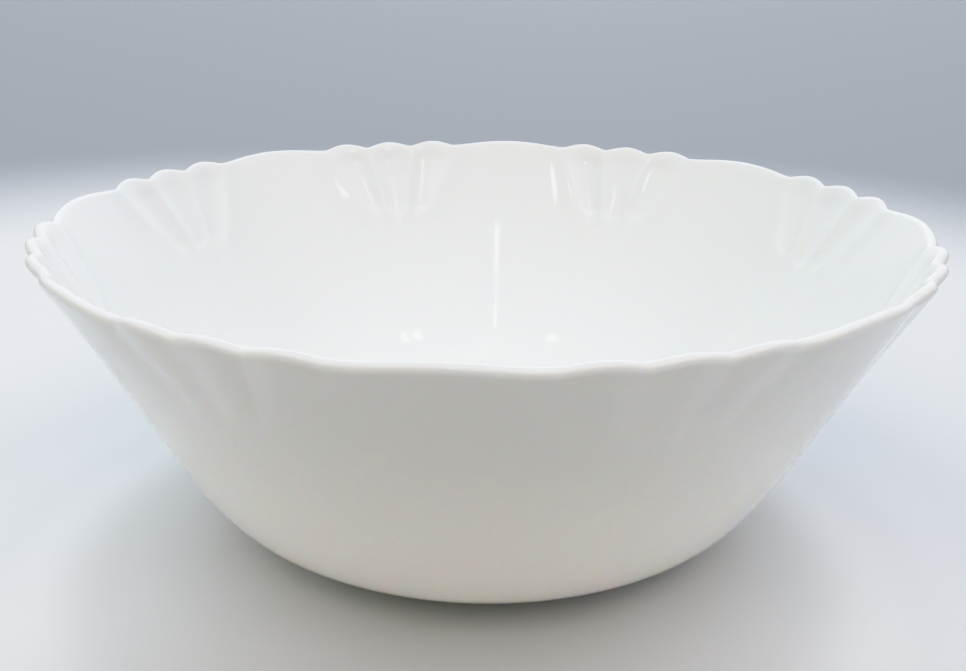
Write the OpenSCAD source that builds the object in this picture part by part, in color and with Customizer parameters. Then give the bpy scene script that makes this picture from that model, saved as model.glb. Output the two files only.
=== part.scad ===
// Round serving bowl with a scalloped edge and a low foot ring.
// Millimetres, +Z up. The origin is the centre of the foot's resting face.

/* [Overall] */
// Diameter across the outermost points of the edge
rim_d = 240; // [200:1:260]
// Height from the resting face to the top of the scallops
bowl_h = 86; // [78:1:96]
// Lean of the wall at the edge, in degrees from upright
rim_lean = 30.4; // [26:0.2:34]
// How far the wall keeps straight below the edge before it turns in
wall_run = 72; // [56:1:78]
// How far the underside spreads outward before it turns up
belly_run = 34; // [28:1:38]

/* [Wall] */
// Thickness of the wall at the edge, which is fully rounded over
rim_t = 3; // [2.4:0.1:4]
// Thickness of the floor
floor_t = 4.2; // [3.2:0.1:5.5]

/* [Scalloped edge] */
// How many times the pattern of one long lobe and a fan repeats
repeats = 8; // [6:1:10]
// Share of each repeat that is the long lobe
lobe_share = 0.456; // [0.38:0.002:0.5]
// Small scallops in each fan
fan_scallops = 3; // [2:1:4]
// Height of the scallops above the notches, measured up the wall
scallop_rise = 2; // [0.8:0.1:2.8]

/* [Pressed fans] */
// Depth of the grooves that run down from the notches
groove_depth = 0.6; // [0:0.1:1]
// Length of the fan, measured down the wall
fan_len = 30; // [20:1:36]
// How much the fan narrows from the edge to its lower end
fan_close = 0.55; // [0:0.05:0.65]

/* [Foot ring] */
// Outer diameter of the foot ring at the body
foot_d = 105; // [90:1:110]
// Width of the flat face it rests on
foot_w = 4; // [3:0.5:6]
// Height of the foot ring
foot_h = 2.5; // [1.8:0.1:3.4]

/* [Hidden] */

china = [0.95, 0.955, 0.945];
bare = [0.93, 0.93, 0.91];

// The outer profile is one cubic curve from the foot to the rounded edge.
lip_r = rim_t/2;
rise_w = scallop_rise*sin(rim_lean);
rise_h = scallop_rise*cos(rim_lean);
P3 = [rim_d/2 - rise_w - lip_r*(1 - cos(rim_lean)),
      bowl_h - rise_h - lip_r*(1 + sin(rim_lean))];
P2 = P3 - wall_run*[sin(rim_lean), cos(rim_lean)];
P0 = [foot_d/2 + 0.5, foot_h];
P1 = P0 + [belly_run, 0];

function curve(v) = pow(1-v, 3)*P0 + 3*pow(1-v, 2)*v*P1 + 3*(1-v)*v*v*P2 + pow(v, 3)*P3;
function along(v) =
    let (q = pow(1-v, 2)*(P1-P0) + 2*(1-v)*v*(P2-P1) + v*v*(P3-P2)) q/norm(q);
function inward(v) = let (q = along(v)) [-q[1], q[0]];
// Distance down the wall from the edge.
function below(v) = norm(P3 - curve(v));
function thick(v) = rim_t + (floor_t - rim_t)*pow(1-v, 1.3);

// One repeat spans `turn` degrees: a fan of half width fan_h, then the long lobe.
turn = 360/repeats;
fan_h = turn*(1 - lobe_share)/2;
half_scallop = fan_h/fan_scallops;

// A scallop seen along the edge: x is 0 at the notch and 1 at the crest, and e rounds the notch.
function eased(x, e) = (sqrt(x*x + e*e) - e)/(sqrt(1 + e*e) - e);
function crest(x, e) = 1 - pow(1 - eased(min(1, x), e), 1.8);

// j runs from -fan_h (the fan's first notch) to turn - fan_h (the next fan's first notch).
function in_fan(j) = j <= fan_h + 0.0001;
function fan_x(j) = let (u = (j + fan_h)/(2*half_scallop)) 1 - abs(2*(u - floor(u + 0.0001)) - 1);
function lobe_gap(j) = min(j - fan_h, turn - fan_h - j);
function rise(j) = scallop_rise*(in_fan(j)
    ? crest(fan_x(j), 0.16)
    : crest(lobe_gap(j)/(turn/2 - fan_h), 0.07));
function groove(j) = 1 - (in_fan(j)
    ? crest(fan_x(j), 0.16)
    : crest(lobe_gap(j)/half_scallop, 0.16));

// The fan closes toward its own middle as it runs down the wall, and the lobe widens beside it.
function ease(t) = let (c = max(0, min(1, t))) c*c*(3 - 2*c);
function squeeze(d) = 1 - fan_close*min(1, d/fan_len)*(1 - ease((d - fan_len)/(1.2*fan_len)));
function bearing(j, d) = let (k = squeeze(d)) in_fan(j)
    ? j*k
    : turn/2 + (j - turn/2)*(turn/2 - fan_h*k)/(turn/2 - fan_h);
function fade(d) = 1 - ease((d - 0.55*fan_len)/(0.55*fan_len));
// The upper part of the wall stretches to reach the crests.
function stretch(d) = pow(max(0, 1 - d/14), 1.5);

// One repeat's columns: six to a small scallop, eight to the long lobe.
steps = 6;
lobe_steps = 8;
columns = concat(
    [for (k = [0 : fan_scallops*steps - 1]) -fan_h + k*2*half_scallop/steps],
    [for (k = [0 : lobe_steps - 1]) fan_h + k*(turn - 2*fan_h)/lobe_steps]);

// Rows round the section: [0, v] outside, [1, angle] over the edge, [2, v] inside.
rows = concat(
    [for (v = [0, 0.1, 0.19, 0.28, 0.38, 0.5, 0.62, 0.74, 0.84, 0.92, 1]) [0, v]],
    [for (a = [45, 90, 135]) [1, a]],
    [for (v = [1, 0.92, 0.84, 0.74, 0.62, 0.5, 0.38, 0.28, 0.19, 0.1, 0]) [2, v]]);

function section(row, j) =
    let (v = row[0] == 1 ? 1 : row[1], d = below(v), n = inward(v),
         shift = groove_depth*groove(j)*fade(d),
         base = curve(v) + rise(j)*stretch(d)*along(1) + shift*n)
    row[0] == 0 ? base
  : row[0] == 2 ? base + thick(v)*n
  : base + lip_r*(1 - cos(row[1]))*n + lip_r*sin(row[1])*along(1);

function spot(row, g, j) =
    let (d = row[0] == 1 ? 0 : below(row[1]), q = section(row, j),
         // The middle of a long lobe lies on +Y.
         a = 90 - turn/2 + g*turn + bearing(j, d))
    [q[0]*cos(a), q[0]*sin(a), q[1]];

module bowl_body() {
    nc = len(columns)*repeats;
    nr = len(rows);
    pts = [for (row = rows) for (g = [0 : repeats-1]) for (j = columns) spot(row, g, j)];
    sides = [for (r = [0 : nr-2]) for (c = [0 : nc-1])
        let (a = r*nc + c, b = r*nc + (c+1)%nc)
        each [[a, a + nc, b + nc], [a, b + nc, b]]];
    under = [[for (c = [0 : nc-1]) c]];
    well = [[for (c = [nc-1 : -1 : 0]) (nr-1)*nc + c]];
    color(china) polyhedron(points = pts, faces = concat(sides, under, well), convexity = 4);
}

module foot_ring() {
    r = foot_d/2;
    color(bare) rotate_extrude($fn = 120) polygon([
        [r - foot_w - 2.2, foot_h],
        [r - foot_w - 0.9, 0.25],
        [r - foot_w - 0.5, 0],
        [r - 0.9, 0],
        [r - 0.5, 0.25],
        [r, foot_h]]);
}

bowl_body();
foot_ring();
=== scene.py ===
import math

import bpy
import numpy as np
from mathutils import Matrix, Vector


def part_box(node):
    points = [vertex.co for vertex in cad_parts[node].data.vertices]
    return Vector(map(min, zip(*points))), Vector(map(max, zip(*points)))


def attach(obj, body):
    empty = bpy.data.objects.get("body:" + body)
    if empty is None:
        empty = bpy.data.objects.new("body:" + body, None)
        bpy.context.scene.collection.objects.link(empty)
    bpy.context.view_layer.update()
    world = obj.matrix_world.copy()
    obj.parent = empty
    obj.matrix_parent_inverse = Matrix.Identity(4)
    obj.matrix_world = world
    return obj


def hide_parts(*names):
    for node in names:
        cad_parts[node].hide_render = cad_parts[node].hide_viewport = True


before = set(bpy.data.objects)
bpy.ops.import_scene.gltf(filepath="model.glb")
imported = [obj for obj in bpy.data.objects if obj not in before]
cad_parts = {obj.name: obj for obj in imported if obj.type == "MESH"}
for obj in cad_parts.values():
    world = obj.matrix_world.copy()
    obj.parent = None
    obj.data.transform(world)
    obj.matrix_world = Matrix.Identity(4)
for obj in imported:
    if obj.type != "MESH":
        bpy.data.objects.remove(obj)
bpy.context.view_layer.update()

# ---------------------------------------------------------------- the bowl's section, in metres
body_lo, body_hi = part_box("bowl_body")
ring_lo, ring_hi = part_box("foot_ring")
MM = 0.001
RIM_D = 240.0
BOWL_H = body_hi[2] / MM + 0.05          # 86: the tip of the scallops
FOOT_H = ring_hi[2] / MM                 # 2.5: where the body meets the ring
FOOT_R = ring_hi[0] / MM                 # 52.5
LEAN = math.radians(30.4)
WALL_RUN, BELLY_RUN = 72.0, 34.0
RIM_T, FLOOR_T = 3.0, 4.2
REPEATS, LOBE_SHARE, SCALLOPS, RISE = 8, 0.456, 3, 2.0
GROOVE, FAN_LEN, FAN_CLOSE = 0.6, 30.0, 0.55

T1 = np.array([math.sin(LEAN), math.cos(LEAN)])
N1 = np.array([-math.cos(LEAN), math.sin(LEAN)])
LIP_R = RIM_T / 2
P3 = np.array([RIM_D / 2 - RISE * T1[0] - LIP_R * (1 - T1[1]),
               BOWL_H - RISE * T1[1] - LIP_R * (1 + T1[0])])
P2 = P3 - WALL_RUN * T1
P0 = np.array([FOOT_R + 0.5, FOOT_H])
P1 = P0 + np.array([BELLY_RUN, 0.0])
TURN = 360.0 / REPEATS
FAN_H = TURN * (1 - LOBE_SHARE) / 2
HALF = FAN_H / SCALLOPS


def curve(v):
    v = np.asarray(v, float)[..., None]
    return (1 - v) ** 3 * P0 + 3 * (1 - v) ** 2 * v * P1 + 3 * (1 - v) * v * v * P2 + v ** 3 * P3


def along(v):
    v = np.asarray(v, float)[..., None]
    q = (1 - v) ** 2 * (P1 - P0) + 2 * (1 - v) * v * (P2 - P1) + v * v * (P3 - P2)
    return q / np.linalg.norm(q, axis=-1, keepdims=True)


def inward(v):
    q = along(v)
    return np.stack([-q[..., 1], q[..., 0]], -1)


def below(v):
    return np.linalg.norm(P3 - curve(v), axis=-1)


def thick(v):
    return RIM_T + (FLOOR_T - RIM_T) * (1 - np.asarray(v, float)) ** 1.3


def eased(x, e):
    return (np.sqrt(x * x + e * e) - e) / (math.sqrt(1 + e * e) - e)


def crest(x, e):
    return 1 - np.clip(1 - eased(np.minimum(1, x), e), 0, 1) ** 1.8


def ease(t):
    c = np.clip(t, 0, 1)
    return c * c * (3 - 2 * c)


def squeeze(d):
    return 1 - FAN_CLOSE * np.minimum(1, d / FAN_LEN) * (1 - ease((d - FAN_LEN) / (1.2 * FAN_LEN)))


def fade(d):
    return 1 - ease((d - 0.55 * FAN_LEN) / (0.55 * FAN_LEN))


def stretch(d):
    return np.clip(1 - d / 14, 0, None) ** 1.5


# Each petal of a fan is a shallow pad, raised on the outside and hollow on the inside, with a round lower end.
PAD, PAD_LEN, PAD_STEP = 0.5, 23.5, 2.6

# One repeat's columns: j from the fan's first notch to the next fan's first notch.
FAN_STEPS, LOBE_STEPS = 18, 26
j_fan = -FAN_H + np.arange(SCALLOPS * FAN_STEPS) * 2 * HALF / FAN_STEPS
j_lobe = FAN_H + np.arange(LOBE_STEPS) * (TURN - 2 * FAN_H) / LOBE_STEPS
J = np.concatenate([j_fan, j_lobe])
IN_FAN = np.arange(len(J)) < len(j_fan)
u = (J + FAN_H) / (2 * HALF)
fan_x = 1 - np.abs(2 * (u - np.floor(u + 1e-9)) - 1)
gap = np.clip(np.minimum(J - FAN_H, TURN - FAN_H - J), 0, None)
RISE_J = RISE * np.where(IN_FAN, crest(fan_x, 0.16), crest(gap / (TURN / 2 - FAN_H), 0.07))
GROOVE_J = 1 - np.where(IN_FAN, crest(fan_x, 0.16), crest(gap / HALF, 0.16))
SOFT_IN = 1 - np.where(IN_FAN, crest(fan_x, 0.3), crest(gap / HALF, 0.3))
SOFT_OUT = ease(1 - np.where(IN_FAN, fan_x, gap / HALF))
ACROSS = np.where(IN_FAN, 1 - fan_x, 1.0)              # 0 along a petal's middle, 1 at its edges
PETAL = np.where(IN_FAN, np.floor(u + 1e-9), 0).astype(int)


def pad(d, turn, inside):
    """How far each column stands out at each distance below the edge, in one repeat (mm)."""
    rise, step = (PAD, PAD_STEP) if inside else (0.18 * PAD, 3.5 * PAD_STEP)
    chance = np.random.default_rng(40 + turn)
    length = PAD_LEN + np.array([-0.6, 0.8, -0.6]) + chance.uniform(-0.7, 0.7, 3)
    deep = rise * (1 + chance.uniform(-0.12, 0.12, 3))
    half = 3.9
    end = length[PETAL] - half * (1 - np.sqrt(np.clip(1 - ACROSS ** 2, 0, 1)))
    low = ease((end[None, :] - d[:, None]) / step + 0.5)
    high = ease((d[:, None] - 0.6) / 5.0)
    return deep[PETAL][None, :] * (1 - ACROSS ** 3)[None, :] * low * high


def v_at(d):
    g = np.linspace(0, 1, 2001)
    return np.interp(d, below(g)[::-1], g[::-1])


D_FULL = float(below(0.0))
D_ROWS = np.concatenate([[0, 0.4, 0.9, 1.5, 2.2], np.arange(3.0, 32.6, 0.88), np.linspace(34, D_FULL, 22)])


def bearing(d):
    """Angle of each column in its repeat, for each distance d below the edge."""
    k = squeeze(d)[:, None]
    return np.where(IN_FAN, J * k, TURN / 2 + (J - TURN / 2) * (TURN / 2 - FAN_H * k) / (TURN / 2 - FAN_H))


def make_bowl():
    # Rows: up the outside, over the rounded edge, and down the inside. They lie closest over the relief.
    v_in = v_at(D_ROWS)
    v_in[0], v_in[-1] = 1.0, 0.0
    v_out = v_in[::-1]
    a_lip = np.radians(np.linspace(0, 180, 13)[1:-1])
    rows = (("out", v_out), ("lip", a_lip), ("in", v_in))
    d = np.concatenate([below(np.ones_like(vs) if kind == "lip" else vs) for kind, vs in rows])
    ang = bearing(d)

    def section(turn):
        rr, zz = [], []
        for kind, vs in rows:
            v = np.ones_like(vs) if kind == "lip" else vs
            dk = below(v)
            n = inward(v)
            # The grooves are crisp at the edge and soften down the wall.
            soft = ease(dk / 7.0)[:, None]
            groove = GROOVE_J[None, :] * (1 - soft) + (SOFT_IN if kind == "in" else SOFT_OUT)[None, :] * soft
            # On the outside they are shorter and shallower than on the inside.
            keep = fade(1.3 * dk) * (1 - 0.4 * ease(dk / 8.0)) if kind == "out" else fade(dk)
            shift = GROOVE * groove * keep[:, None] - pad(dk, turn, kind == "in")
            base = curve(v)[:, None, :] + (RISE_J[None, :] * stretch(dk)[:, None])[..., None] * T1 + shift[..., None] * n[:, None, :]
            if kind == "in":
                base = base + (thick(v)[:, None] * n)[:, None, :]
            if kind == "lip":
                base = base + (LIP_R * (1 - np.cos(vs))[:, None] * N1 + LIP_R * np.sin(vs)[:, None] * T1)[:, None, :]
            rr.append(base[..., 0])
            zz.append(base[..., 1])
        return np.concatenate(rr), np.concatenate(zz)

    # Rings across the underside and the floor, so that the flat parts keep an even mesh.
    def disc(r0, z0, a0, count):
        f = np.linspace(1, 0.04, count)[1:]
        return f[:, None] * r0[None, :], np.repeat(z0[None, :], len(f), 0), np.repeat(a0[None, :], len(f), 0)

    verts = []
    for g in range(REPEATS):
        r, z = section(g)
        ru, zu, au = disc(r[0], z[0], ang[0], 9)
        rf, zf, af = disc(r[-1], z[-1], ang[-1], 9)
        r, z, al = np.concatenate([ru[::-1], r, rf]), np.concatenate([zu[::-1], z, zf]), np.concatenate([au[::-1], ang, af])
        a = np.radians(90 - TURN / 2 + g * TURN + al)
        verts.append(np.stack([r * np.cos(a), r * np.sin(a), z], -1))
    V = np.concatenate(verts, 1)                      # rows, columns, xyz
    nr, nc = V.shape[:2]
    V = V.reshape(-1, 3) * MM
    R, C = np.meshgrid(np.arange(nr - 1), np.arange(nc), indexing="ij")
    a, b = R * nc + C, R * nc + (C + 1) % nc
    quads = np.stack([a, b, b + nc, a + nc], -1).reshape(-1, 4)
    lo, hi = len(V), len(V) + 1
    V = np.concatenate([V, [[0, 0, z[0, 0] * MM], [0, 0, z[-1, 0] * MM]]])
    c = np.arange(nc)
    under = np.stack([np.full(nc, lo), (c + 1) % nc, c], -1)
    top = np.stack([np.full(nc, hi), (nr - 1) * nc + c, (nr - 1) * nc + (c + 1) % nc], -1)
    return mesh_object("bowl", V, quads.tolist() + under.tolist() + top.tolist())


def mesh_object(name, verts, faces):
    me = bpy.data.meshes.new(name)
    me.from_pydata([tuple(p) for p in verts], [], faces)
    me.validate()
    me.update()
    for p in me.polygons:
        p.use_smooth = True
    ob = bpy.data.objects.new(name, me)
    bpy.context.scene.collection.objects.link(ob)
    return ob


def revolve(name, outline, steps=720):
    """A closed section turned round Z. The outline runs so that its left side is the solid's outside."""
    o = np.array(outline) * MM
    a = np.radians(np.arange(steps) * 360 / steps)
    V = np.stack([o[:, 0][None, :] * np.cos(a)[:, None], o[:, 0][None, :] * np.sin(a)[:, None],
                  np.repeat(o[:, 1][None, :], steps, 0)], -1)
    n = len(o)
    S, K = np.meshgrid(np.arange(steps), np.arange(n), indexing="ij")
    q = np.stack([S * n + K, ((S + 1) % steps) * n + K, ((S + 1) % steps) * n + (K + 1) % n, S * n + (K + 1) % n], -1)
    return mesh_object(name, V.reshape(-1, 3), q.reshape(-1, 4).tolist())


def arc(cx, cz, rad, a0, a1, n=7):
    a = np.radians(np.linspace(a0, a1, n))
    return [(cx + rad * math.cos(t), cz + rad * math.sin(t)) for t in a]


def make_ring():
    # Rounded resting edge, with a hollow fillet on each side where it runs into the underside.
    ro, ri, h = FOOT_R, FOOT_R - 6.2, FOOT_H
    s = []
    s += arc(ro - 1.3, 0.8, 0.8, -90, 0)
    s += arc(ro + 0.75, h - 1.25, 1.25, 180, 90)
    s += arc(ri - 0.55, h - 1.25, 1.25, 90, 0)
    s += arc(ri + 1.5, 0.8, 0.8, 180, 270)
    return revolve("foot", s)


bowl = make_bowl()
foot = make_ring()


# ---------------------------------------------------------------- materials
def new_material(name):
    m = bpy.data.materials.new(name)
    m.use_nodes = True
    nt = m.node_tree
    nt.nodes.clear()
    out = nt.nodes.new("ShaderNodeOutputMaterial")
    return m, nt, out


def node(nt, kind, **vals):
    n = nt.nodes.new(kind)
    for k, v in vals.items():
        if k in n.inputs:
            n.inputs[k].default_value = v
        else:
            setattr(n, k, v)
    return n


def ramp(nt, fac, stops):
    n = nt.nodes.new("ShaderNodeValToRGB")
    e = n.color_ramp.elements
    while len(e) < len(stops):
        e.new(0.5)
    for el, (p, c) in zip(e, stops):
        el.position = p
        el.color = c if len(c) == 4 else (*c, 1)
    nt.links.new(fac, n.inputs["Fac"])
    return n


def ramp_linear(nt, fac, stops):
    n = ramp(nt, fac, stops)
    n.color_ramp.interpolation = "LINEAR"
    return n


def china():
    m, nt, out = new_material("white_china_glaze")
    L = nt.links.new
    tc = node(nt, "ShaderNodeTexCoord")
    bs = node(nt, "ShaderNodeBsdfPrincipled")
    bs.inputs["IOR"].default_value = 1.5
    bs.inputs["Specular IOR Level"].default_value = 0.5
    # A thin wall of white body lets a little warm light through to its shaded side.
    bs.subsurface_method = "RANDOM_WALK"
    where = node(nt, "ShaderNodeSeparateXYZ")
    L(tc.outputs["Object"], where.inputs["Vector"])
    glow = node(nt, "ShaderNodeMapRange", interpolation_type="SMOOTHSTEP")
    glow.inputs["From Min"].default_value, glow.inputs["From Max"].default_value = 0.010, 0.075
    glow.inputs["To Min"].default_value, glow.inputs["To Max"].default_value = 1.0, 0.37
    L(where.outputs["Z"], glow.inputs["Value"])
    L(glow.outputs["Result"], bs.inputs["Subsurface Weight"])
    bs.inputs["Subsurface Radius"].default_value = (7.8, 5.0, 3.2)
    bs.inputs["Subsurface Scale"].default_value = 0.001
    # Faint unevenness of the white.
    n1 = node(nt, "ShaderNodeTexNoise", Scale=14.0, Detail=3.0, Roughness=0.5)
    L(tc.outputs["Object"], n1.inputs["Vector"])
    c1 = ramp(nt, n1.outputs["Fac"], [(0.3, (0.876, 0.900, 0.899)), (0.7, (0.888, 0.910, 0.909))])
    # Painted tint: the white is made a little bluer low in the bowl, standing in for the cooler light on its lower
    # outside.
    cool_low_paint = node(nt, "ShaderNodeMapRange", interpolation_type="SMOOTHSTEP")
    cool_low_paint.inputs["From Min"].default_value, cool_low_paint.inputs["From Max"].default_value = 0.012, 0.045
    cool_low_paint.inputs["To Min"].default_value, cool_low_paint.inputs["To Max"].default_value = 0.8, 0.0
    L(where.outputs["Z"], cool_low_paint.inputs["Value"])
    deep = node(nt, "ShaderNodeMix", data_type="RGBA")
    L(cool_low_paint.outputs["Result"], deep.inputs["Factor"])
    L(c1.outputs["Color"], deep.inputs["A"])
    deep.inputs["B"].default_value = (0.886, 0.912, 0.936, 1)
    L(deep.outputs["Result"], bs.inputs["Base Color"])
    # Gloss that varies a little, as on a washed and handled glaze.
    n2 = node(nt, "ShaderNodeTexNoise", Scale=38.0, Detail=5.0, Roughness=0.6)
    L(tc.outputs["Object"], n2.inputs["Vector"])
    r1 = node(nt, "ShaderNodeMapRange")
    r1.inputs["From Min"].default_value, r1.inputs["From Max"].default_value = 0.3, 0.7
    r1.inputs["To Min"].default_value, r1.inputs["To Max"].default_value = 0.03, 0.07
    L(n2.outputs["Fac"], r1.inputs["Value"])
    L(r1.outputs["Result"], bs.inputs["Roughness"])
    # Slow waviness left by pressing and firing, then a very fine orange peel.
    n3 = node(nt, "ShaderNodeTexNoise", Scale=42.0, Detail=1.0, Roughness=0.4)
    L(tc.outputs["Object"], n3.inputs["Vector"])
    n4 = node(nt, "ShaderNodeTexNoise", Scale=900.0, Detail=2.0, Roughness=0.5)
    L(tc.outputs["Object"], n4.inputs["Vector"])
    b1 = node(nt, "ShaderNodeBump", Strength=1.0, Distance=0.00009)
    b2 = node(nt, "ShaderNodeBump", Strength=1.0, Distance=0.000003)
    L(n3.outputs["Fac"], b1.inputs["Height"])
    L(n4.outputs["Fac"], b2.inputs["Height"])
    L(b1.outputs["Normal"], b2.inputs["Normal"])
    L(b2.outputs["Normal"], bs.inputs["Normal"])
    L(bs.outputs["BSDF"], out.inputs["Surface"])
    return m


def bare_foot():
    """Glazed on the sides, dry and a little rough where it rests on the table."""
    m, nt, out = new_material("bare_foot_china")
    L = nt.links.new
    tc = node(nt, "ShaderNodeTexCoord")
    bs = node(nt, "ShaderNodeBsdfPrincipled")
    bs.inputs["IOR"].default_value = 1.5
    sep = node(nt, "ShaderNodeSeparateXYZ")
    L(tc.outputs["Object"], sep.inputs["Vector"])
    edge = node(nt, "ShaderNodeTexNoise", Scale=260.0, Detail=3.0)
    L(tc.outputs["Object"], edge.inputs["Vector"])
    wob = node(nt, "ShaderNodeMath", operation="MULTIPLY_ADD")
    L(edge.outputs["Fac"], wob.inputs[0])
    wob.inputs[1].default_value = 0.0006
    L(sep.outputs["Z"], wob.inputs[2])
    dry = node(nt, "ShaderNodeMapRange")
    dry.inputs["From Min"].default_value, dry.inputs["From Max"].default_value = 0.0004, 0.0009
    dry.inputs["To Min"].default_value, dry.inputs["To Max"].default_value = 1.0, 0.0
    L(wob.outputs["Value"], dry.inputs["Value"])
    grain = node(nt, "ShaderNodeTexNoise", Scale=1800.0, Detail=4.0)
    L(tc.outputs["Object"], grain.inputs["Vector"])
    stain = node(nt, "ShaderNodeTexNoise", Scale=45.0, Detail=4.0)
    L(tc.outputs["Object"], stain.inputs["Vector"])
    dirt = ramp(nt, stain.outputs["Fac"], [(0.35, (0.80, 0.79, 0.76)), (0.65, (0.74, 0.725, 0.69))])
    mix = node(nt, "ShaderNodeMix", data_type="RGBA")
    L(dry.outputs["Result"], mix.inputs["Factor"])
    mix.inputs["A"].default_value = (0.875, 0.885, 0.875, 1)
    L(dirt.outputs["Color"], mix.inputs["B"])
    L(mix.outputs["Result"], bs.inputs["Base Color"])
    rough = node(nt, "ShaderNodeMapRange")
    rough.inputs["To Min"].default_value, rough.inputs["To Max"].default_value = 0.08, 0.7
    L(dry.outputs["Result"], rough.inputs["Value"])
    L(rough.outputs["Result"], bs.inputs["Roughness"])
    hgt = node(nt, "ShaderNodeMath", operation="MULTIPLY")
    L(grain.outputs["Fac"], hgt.inputs[0])
    L(dry.outputs["Result"], hgt.inputs[1])
    b = node(nt, "ShaderNodeBump", Strength=1.0, Distance=0.00006)
    L(hgt.outputs["Value"], b.inputs["Height"])
    L(b.outputs["Normal"], bs.inputs["Normal"])
    L(bs.outputs["BSDF"], out.inputs["Surface"])
    return m


bowl.data.materials.append(china())
foot.data.materials.append(bare_foot())

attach(bowl, "root")
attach(foot, "root")
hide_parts("bowl_body")
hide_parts("foot_ring")


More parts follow.
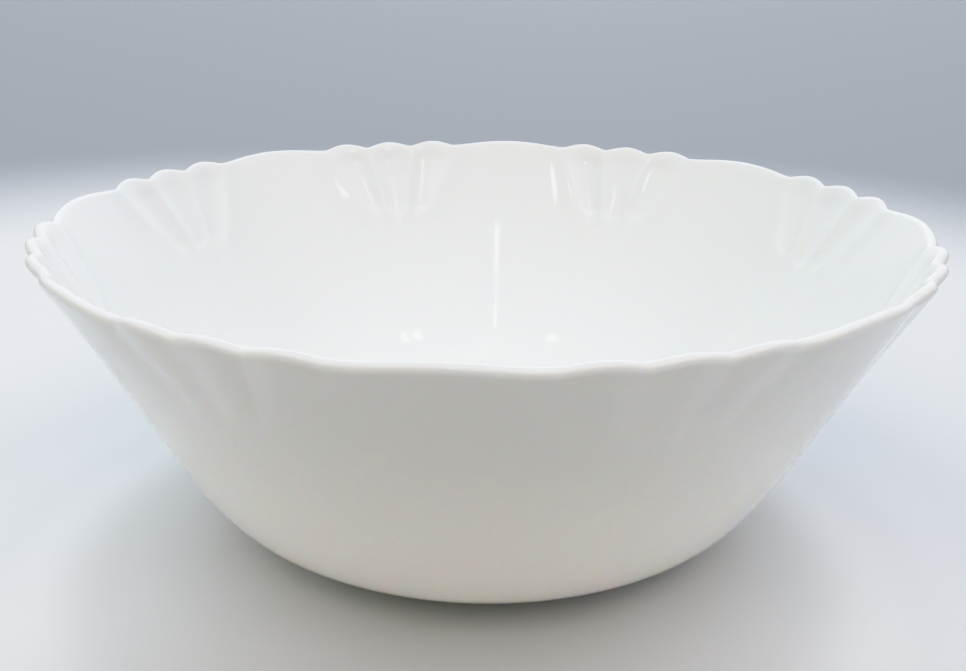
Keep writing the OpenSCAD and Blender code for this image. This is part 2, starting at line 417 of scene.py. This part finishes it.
# ---------------------------------------------------------------- stage
def floor():
    s = 12.0
    n = 24
    g = np.linspace(-s, s, n + 1)
    X, Y = np.meshgrid(g, g, indexing="ij")
    V = np.stack([X, Y, 0 * X - 0.00005], -1).reshape(-1, 3)
    i, k = np.meshgrid(np.arange(n), np.arange(n), indexing="ij")
    a = i * (n + 1) + k
    F = np.stack([a, a + n + 1, a + n + 2, a + 1], -1).reshape(-1, 4)
    ob = mesh_object("floor", V, F.tolist())
    m, nt, out = new_material("pale_floor")
    L = nt.links.new
    tc = node(nt, "ShaderNodeTexCoord")
    bs = node(nt, "ShaderNodeBsdfPrincipled", Roughness=0.55)
    bs.inputs["Specular IOR Level"].default_value = 0.1
    # Painted falloff of light: the floor darkens away from the bowl, last on the left, then behind, on the right and
    # in front.
    sep = node(nt, "ShaderNodeSeparateXYZ")
    L(tc.outputs["Object"], sep.inputs["Vector"])
    flat = node(nt, "ShaderNodeCombineXYZ")
    for axis, plus, minus in (("X", 1.35, 1.0), ("Y", 1.08, 1.45)):
        size = node(nt, "ShaderNodeMath", operation="ABSOLUTE")
        L(sep.outputs[axis], size.inputs[0])
        side = node(nt, "ShaderNodeMath", operation="MULTIPLY")
        L(size.outputs["Value"], side.inputs[0])
        side.inputs[1].default_value = (plus - minus) / 2
        both = node(nt, "ShaderNodeMath", operation="MULTIPLY_ADD")
        L(sep.outputs[axis], both.inputs[0])
        both.inputs[1].default_value = (plus + minus) / 2
        L(side.outputs["Value"], both.inputs[2])
        L(both.outputs["Value"], flat.inputs[axis])
    dist = node(nt, "ShaderNodeVectorMath", operation="LENGTH")
    L(flat.outputs["Vector"], dist.inputs[0])
    far = node(nt, "ShaderNodeMapRange", interpolation_type="SMOOTHSTEP")
    far.inputs["From Min"].default_value, far.inputs["From Max"].default_value = 0.36, 0.70
    L(dist.outputs["Value"], far.inputs["Value"])
    col = ramp(nt, far.outputs["Result"], [(0.0, (0.75, 0.77, 0.79)), (1.0, (0.305, 0.327, 0.355))])
    # A painted shadow, soft and broad, just in front of the bowl.
    place = node(nt, "ShaderNodeVectorMath", operation="MULTIPLY_ADD")
    L(tc.outputs["Object"], place.inputs[0])
    place.inputs[1].default_value, place.inputs[2].default_value = (1 / 0.16, 1 / 0.14, 0), (0, 0.22 / 0.14, 0)
    off = node(nt, "ShaderNodeVectorMath", operation="LENGTH")
    L(place.outputs["Vector"], off.inputs[0])
    front = node(nt, "ShaderNodeMapRange", interpolation_type="SMOOTHSTEP")
    front.inputs["From Min"].default_value, front.inputs["From Max"].default_value = 0.5, 1.25
    front.inputs["To Min"].default_value, front.inputs["To Max"].default_value = 1.0, 0.0
    L(off.outputs["Value"], front.inputs["Value"])
    shade = node(nt, "ShaderNodeMix", data_type="RGBA", blend_type="MULTIPLY")
    L(front.outputs["Result"], shade.inputs["Factor"])
    L(col.outputs["Color"], shade.inputs["A"])
    shade.inputs["B"].default_value = (0.65, 0.625, 0.59, 1)
    # Painted light and shade close to the bowl: the floor right under it is painted lighter, and a ring just round it
    # gets a painted warm shade for the bowl's shadow and the warm light it lets through.
    reach = node(nt, "ShaderNodeVectorMath", operation="LENGTH")
    L(tc.outputs["Object"], reach.inputs[0])
    near_bowl_paint = ramp(nt, reach.outputs["Value"], [(0.064, (1.12, 1.13, 1.15)), (0.074, (0.975, 0.945, 0.91)), (0.100, (0.985, 0.975, 0.965)), (0.125, (1.0, 1.0, 1.0))])
    near_bowl_paint_mix = node(nt, "ShaderNodeMix", data_type="RGBA", blend_type="MULTIPLY", Factor=1.0)
    L(shade.outputs["Result"], near_bowl_paint_mix.inputs["A"])
    L(near_bowl_paint.outputs["Color"], near_bowl_paint_mix.inputs["B"])
    # Painted shadow edge: the shade in front gets a soft but clear outer edge, and a painted light ring makes the
    # floor lightest just outside it.
    ahead = node(nt, "ShaderNodeVectorMath", operation="ADD")
    L(tc.outputs["Object"], ahead.inputs[0])
    ahead.inputs[1].default_value = (0.006, 0.035, 0)
    away = node(nt, "ShaderNodeVectorMath", operation="LENGTH")
    L(ahead.outputs["Vector"], away.inputs[0])
    edge = ramp(nt, away.outputs["Value"], [(0.090, (0.861,) * 3), (0.109, (0.975,) * 3), (0.125, (0.918,) * 3), (0.160, (0.845,) * 3), (0.300, (0.861,) * 3)])
    edge.color_ramp.interpolation = "EASE"
    lit = node(nt, "ShaderNodeMix", data_type="RGBA", blend_type="DIVIDE", Factor=1.0)
    L(near_bowl_paint_mix.outputs["Result"], lit.inputs["A"])
    # Painted shade: near the bowl the floor is divided down a little more on its right (+X) side, so it is darker
    # there.
    sides = node(nt, "ShaderNodeSeparateXYZ")
    L(tc.outputs["Object"], sides.inputs[0])
    near = node(nt, "ShaderNodeMapRange", interpolation_type="SMOOTHSTEP")
    L(away.outputs["Value"], near.inputs[0])
    for i, v in enumerate((0.18, 0.45, 1.0, 0.0), 1):
        near.inputs[i].default_value = v
    part = node(nt, "ShaderNodeMath", operation="MULTIPLY")
    L(sides.outputs["X"], part.inputs[0])
    L(near.outputs[0], part.inputs[1])
    slope = ramp(nt, part.outputs[0], [(0.0, (0.861,) * 3), (0.11, (0.908,) * 3)])
    L(slope.outputs["Color"], lit.inputs["B"])
    both = node(nt, "ShaderNodeMix", data_type="RGBA", blend_type="MULTIPLY", Factor=1.0)
    L(lit.outputs["Result"], both.inputs["A"])
    L(edge.outputs["Color"], both.inputs["B"])
    L(both.outputs["Result"], bs.inputs["Base Color"])
    L(bs.outputs["BSDF"], out.inputs["Surface"])
    ob.data.materials.append(m)
    return ob


floor()


# ---------------------------------------------------------------- camera
def make_camera():
    f_px, D, e, az, aim_z = 1053.27, 0.29700, math.radians(13.095), math.radians(3.878), 0.08494
    roll, pit, yaw = math.radians(0.638), math.radians(6.610), math.radians(0.136)
    C = np.array([math.sin(az) * math.cos(e), -math.cos(az) * math.cos(e), math.sin(e)]) * D + np.array([0, 0, aim_z])
    right = np.array([math.cos(az), math.sin(az), 0.0])
    fwd = np.array([0, 0, aim_z]) - C
    fwd /= np.linalg.norm(fwd)
    up = np.cross(right, fwd)
    cz, sz, cx, sx, cy, sy = math.cos(roll), math.sin(roll), math.cos(pit), math.sin(pit), math.cos(yaw), math.sin(yaw)
    Rz = np.array([[cz, -sz, 0], [sz, cz, 0], [0, 0, 1]])
    Rx = np.array([[1, 0, 0], [0, cx, -sx], [0, sx, cx]])
    Ry = np.array([[cy, 0, sy], [0, 1, 0], [-sy, 0, cy]])
    M = Rz @ Rx @ Ry @ np.stack([right, -up, fwd])
    X, Y, Z = M[0], -M[1], -M[2]
    cam = bpy.data.cameras.new("camera")
    cam.sensor_width = 36.0
    cam.lens = f_px / 966 * 36.0
    cam.clip_start, cam.clip_end = 0.01, 50.0
    ob = bpy.data.objects.new("camera", cam)
    bpy.context.scene.collection.objects.link(ob)
    ob.matrix_world = Matrix(((X[0], Y[0], Z[0], C[0]), (X[1], Y[1], Z[1], C[1]), (X[2], Y[2], Z[2], C[2]), (0, 0, 0, 1)))
    bpy.context.scene.camera = ob
    return ob


make_camera()


# ---------------------------------------------------------------- light
def area(name, loc, target, size, size_y, radiance, color=(1, 1, 1)):
    d = bpy.data.lights.new(name, "AREA")
    d.shape = "RECTANGLE"
    d.size, d.size_y = size, size_y
    d.energy = radiance * math.pi * size * size_y
    d.color = color
    ob = bpy.data.objects.new(name, d)
    bpy.context.scene.collection.objects.link(ob)
    ob.location = loc
    ob.rotation_mode = "QUATERNION"
    ob.rotation_quaternion = (Vector(target) - Vector(loc)).to_track_quat("-Z", "Y")
    return ob


# Small lamps in front, for the narrow glints inside the bowl.
def lamp(name, bearing_deg, height_deg, wide, tall, radiance, reach=0.95):
    a, e = math.radians(bearing_deg), math.radians(height_deg)
    seen_from = Vector((0.0, 0.093, 0.042))
    at = seen_from + reach * Vector((math.sin(a) * math.cos(e), -math.cos(a) * math.cos(e), math.sin(e)))
    return area(name, at, seen_from, wide, tall, radiance)


lamp("strip", -1.0, 40.5, 0.022, 0.089, 6.0)
lamp("lamp_right_a", 38.0, 44.8, 0.045, 0.085, 5.5)
lamp("lamp_right_b", 45.0, 44.8, 0.045, 0.085, 5.5)
lamp("lamp_left", -30.5, 45.6, 0.060, 0.070, 5.5)

# Soft light from all round: bright above, wide in front and behind, and dim near the ground.
# One row for each height above the ground (0, 22.5, 45, 67.5 and 90 degrees): its colour behind the
# bowl (+Y), to its right (+X), in front (-Y) and to its left.
SKY = (
    ((1.18, 1.06, 1.06), (0.00, 0.00, 0.00), (0.00, 0.00, 0.00), (0.00, 0.00, 0.00)),
    ((1.65, 1.89, 2.20), (0.03, 0.00, 0.00), (0.14, 0.09, 0.00), (0.27, 0.27, 0.07)),
    ((0.80, 1.18, 1.46), (1.80, 1.68, 1.63), (1.00, 1.04, 0.93), (1.53, 1.50, 1.53)),
    ((0.00, 0.20, 0.30), (1.59, 1.50, 1.54), (2.86, 2.60, 2.75), (1.25, 1.21, 1.25)),
    ((1.01, 0.89, 0.85),),
)
BACKDROP = ((0.42, 0.46, 0.51), (0.332, 0.357, 0.394), (0.319, 0.342, 0.371), (0.334, 0.362, 0.395))


def sky():
    w = bpy.data.worlds.new("soft_studio")
    bpy.context.scene.world = w
    w.use_nodes = True
    nt = w.node_tree
    nt.nodes.clear()
    L = nt.links.new
    out = nt.nodes.new("ShaderNodeOutputWorld")
    bg = node(nt, "ShaderNodeBackground", Strength=1.0)
    tc = node(nt, "ShaderNodeTexCoord")
    sep = node(nt, "ShaderNodeSeparateXYZ")
    L(tc.outputs["Generated"], sep.inputs["Vector"])
    turn = node(nt, "ShaderNodeMath", operation="ARCTAN2")
    L(sep.outputs["X"], turn.inputs[0])
    L(sep.outputs["Y"], turn.inputs[1])
    part = node(nt, "ShaderNodeMapRange")
    part.inputs["From Min"].default_value, part.inputs["From Max"].default_value = -math.pi, math.pi
    L(turn.outputs["Value"], part.inputs["Value"])
    rise = node(nt, "ShaderNodeMath", operation="ARCSINE")
    L(sep.outputs["Z"], rise.inputs[0])

    def band(row):
        """Colour all round at one height: front, left, back, right, front as the bearing turns once."""
        b, r, f, l = row
        return ramp_linear(nt, part.outputs["Result"], [(0.0, f), (0.25, l), (0.5, b), (0.75, r), (1.0, f)])

    colour = band(SKY[0]).outputs["Color"]
    for k, lo in enumerate((0, 22.5, 45, 67.5)):
        t = node(nt, "ShaderNodeMapRange")
        t.inputs["From Min"].default_value, t.inputs["From Max"].default_value = math.radians(lo), math.radians(lo + 22.5)
        L(rise.outputs["Value"], t.inputs["Value"])
        mix = node(nt, "ShaderNodeMix", data_type="RGBA")
        L(t.outputs["Result"], mix.inputs["Factor"])
        L(colour, mix.inputs["A"])
        if k < 3:
            L(band(SKY[k + 1]).outputs["Color"], mix.inputs["B"])
        else:
            mix.inputs["B"].default_value = (*SKY[4][0], 1)
        colour = mix.outputs["Result"]
    # What is seen past the end of the floor is plain and pale.
    lp = node(nt, "ShaderNodeLightPath")
    seen = node(nt, "ShaderNodeMix", data_type="RGBA")
    L(lp.outputs["Is Camera Ray"], seen.inputs["Factor"])
    L(colour, seen.inputs["A"])
    L(band(BACKDROP).outputs["Color"], seen.inputs["B"])
    L(seen.outputs["Result"], bg.inputs["Color"])
    L(bg.outputs["Background"], out.inputs["Surface"])


sky()

vs = bpy.context.scene.view_settings
vs.view_transform = "Standard"
vs.look = "None"
vs.exposure = 0.0
vs.gamma = 1.0
# A soft shoulder, so that the brightest white keeps its shape.
vs.use_curve_mapping = True
cm = vs.curve_mapping
cm.extend = "EXTRAPOLATED"
cm.use_clip = False
c = cm.curves[3]
for p, (x, y) in zip(c.points, ((0.0, 0.0), (1.0, 0.885))):
    p.location = (x, y)
for x, y in ((0.35, 0.35), (0.70, 0.70), (0.80, 0.785), (0.90, 0.845)):
    c.points.new(x, y)
cm.update()
